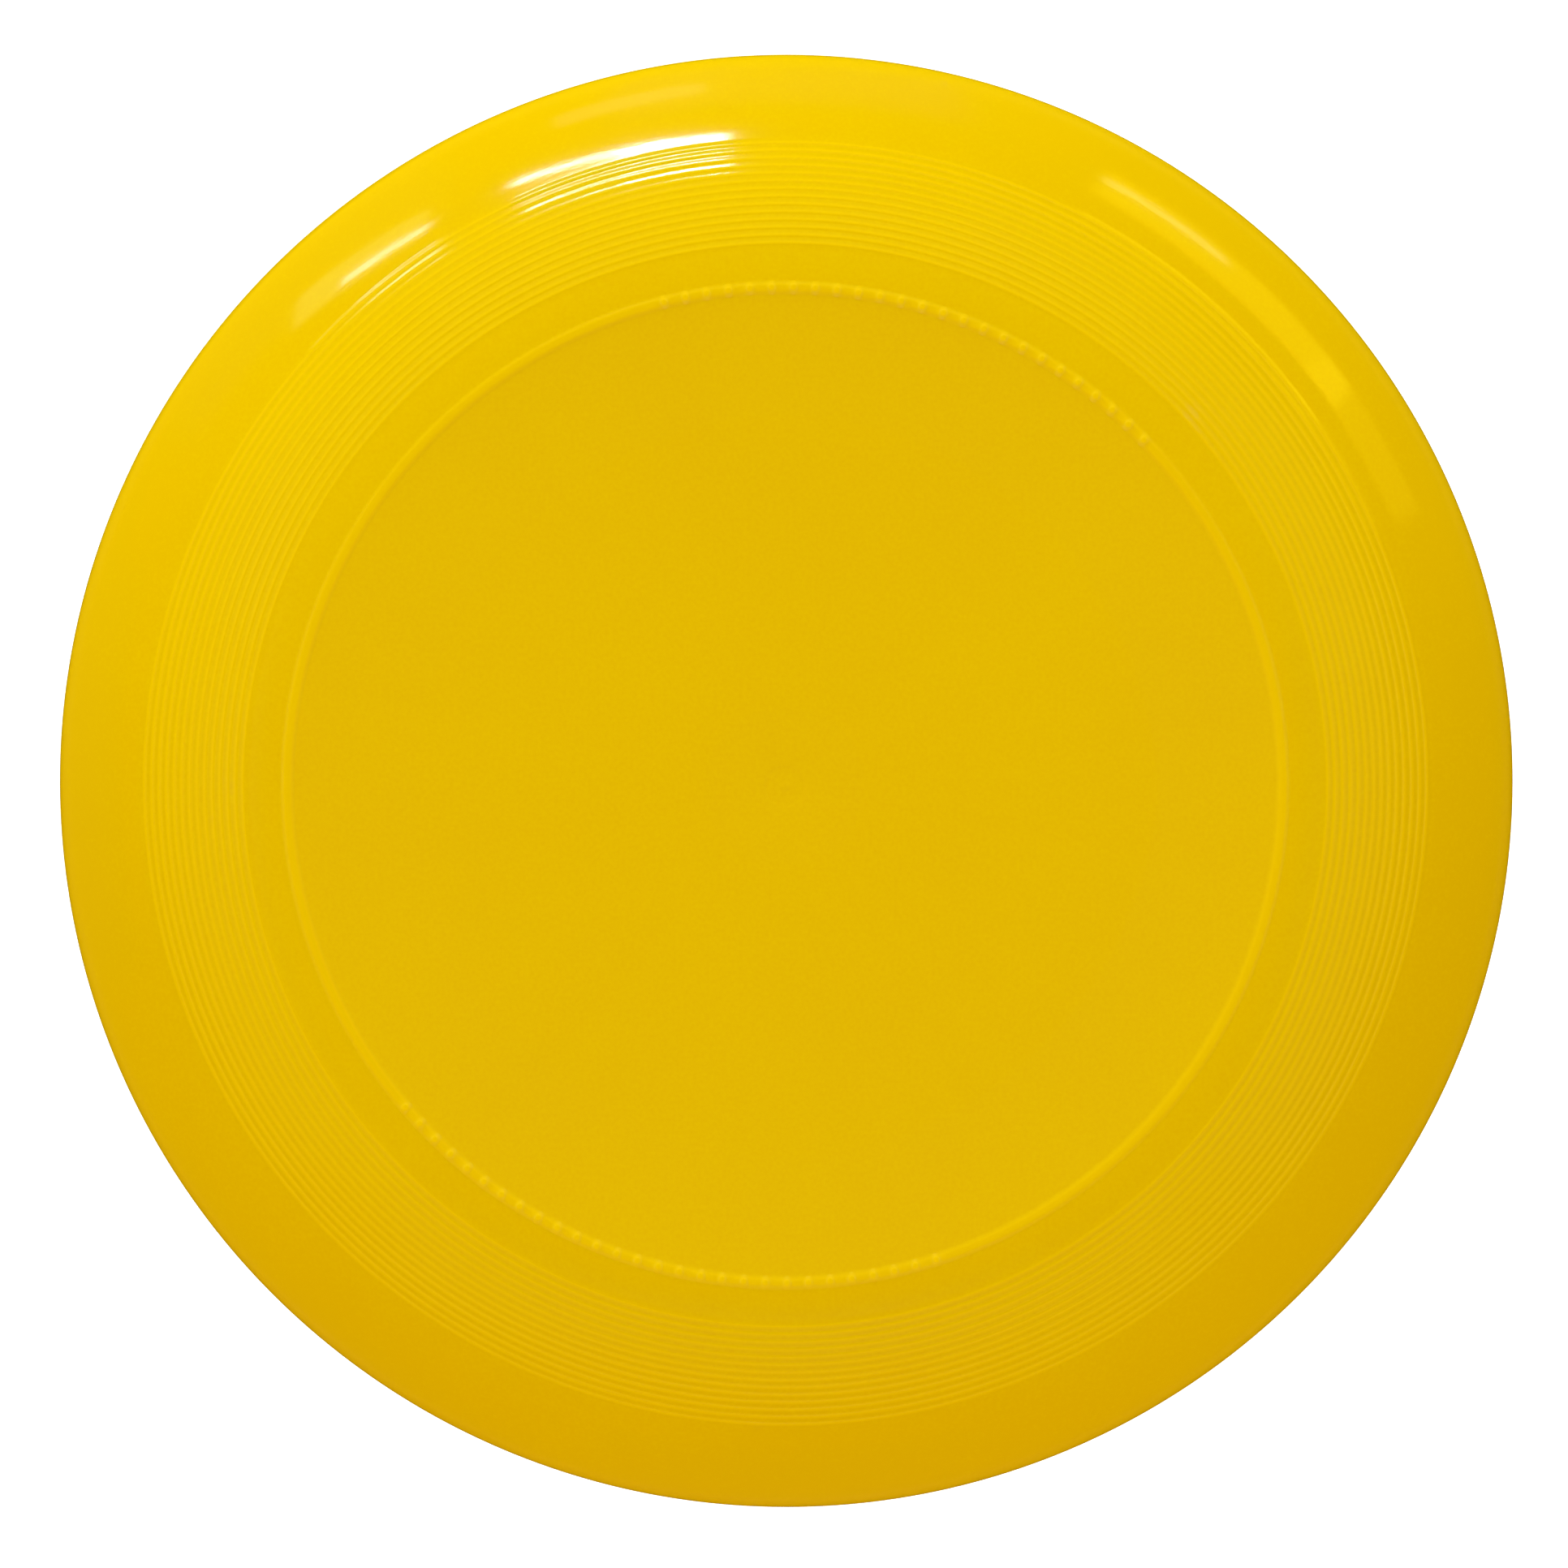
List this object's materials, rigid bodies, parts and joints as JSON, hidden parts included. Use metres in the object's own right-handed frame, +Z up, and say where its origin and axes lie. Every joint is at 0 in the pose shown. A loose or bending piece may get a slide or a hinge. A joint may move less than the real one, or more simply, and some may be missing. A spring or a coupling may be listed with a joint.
{
  "type": "flying disc",
  "caption": "Round throwing disc with a flat plate, a ridged falling shoulder and a deep rounded rim around a hollow underside.",
  "frame": {"origin": "centre of the flat lower face of the rim, which the disc stands on", "axes": "+Z up along the disc's axis, through the plate; +Y towards the row of 25 pips, before their small turn"},
  "size_m": [0.273, 0.273, 0.032],
  "materials": {
    "polyethylene": "satin, smooth moulded polyethylene, glossier on the shoulder"
  },
  "bodies": {
    "root": {"disc": "polyethylene"}
  },
  "joints": []
}
